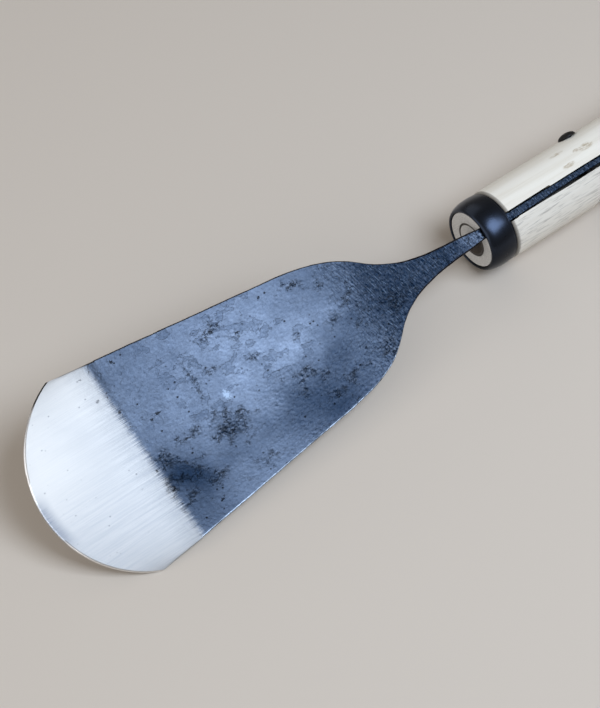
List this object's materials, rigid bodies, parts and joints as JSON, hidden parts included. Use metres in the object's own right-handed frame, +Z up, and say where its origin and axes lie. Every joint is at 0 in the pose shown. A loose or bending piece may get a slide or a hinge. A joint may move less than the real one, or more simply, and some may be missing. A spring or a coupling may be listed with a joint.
{
  "type": "straight farm adze",
  "caption": "Straight push adze: a hand-forged spatula blade with a curved polished edge, on a round oak handle with a slotted-in tang, a steel ferrule and a cross bolt.",
  "frame": {"origin": "middle of the footprint of the tool as it lies, on the surface that it lies on", "axes": "+X along the handle from the blade to the butt, +Z up, -Y towards the blade's corner that touches the table. The tool is rolled 30 degrees about its handle."},
  "size_m": [0.6984, 0.0824, 0.049],
  "materials": {
    "forged_iron": "blue-grey forge scale, pitted and satin, with the last 50 mm ground bright",
    "polished_steel": "ground bright with fine scratches along the blade",
    "oak": "pale oak, planed and unvarnished, fine straight grain",
    "black_steel": "satin black",
    "black_fastener": "black oxide, satin"
  },
  "bodies": {
    "root": {"blade_forging": "forged_iron", "edge_steel": "polished_steel", "handle": "oak", "ferrule": "black_steel", "cross_bolt": "black_fastener", "nut_washer": "black_fastener", "hex_nut": "black_fastener"}
  },
  "joints": []
}
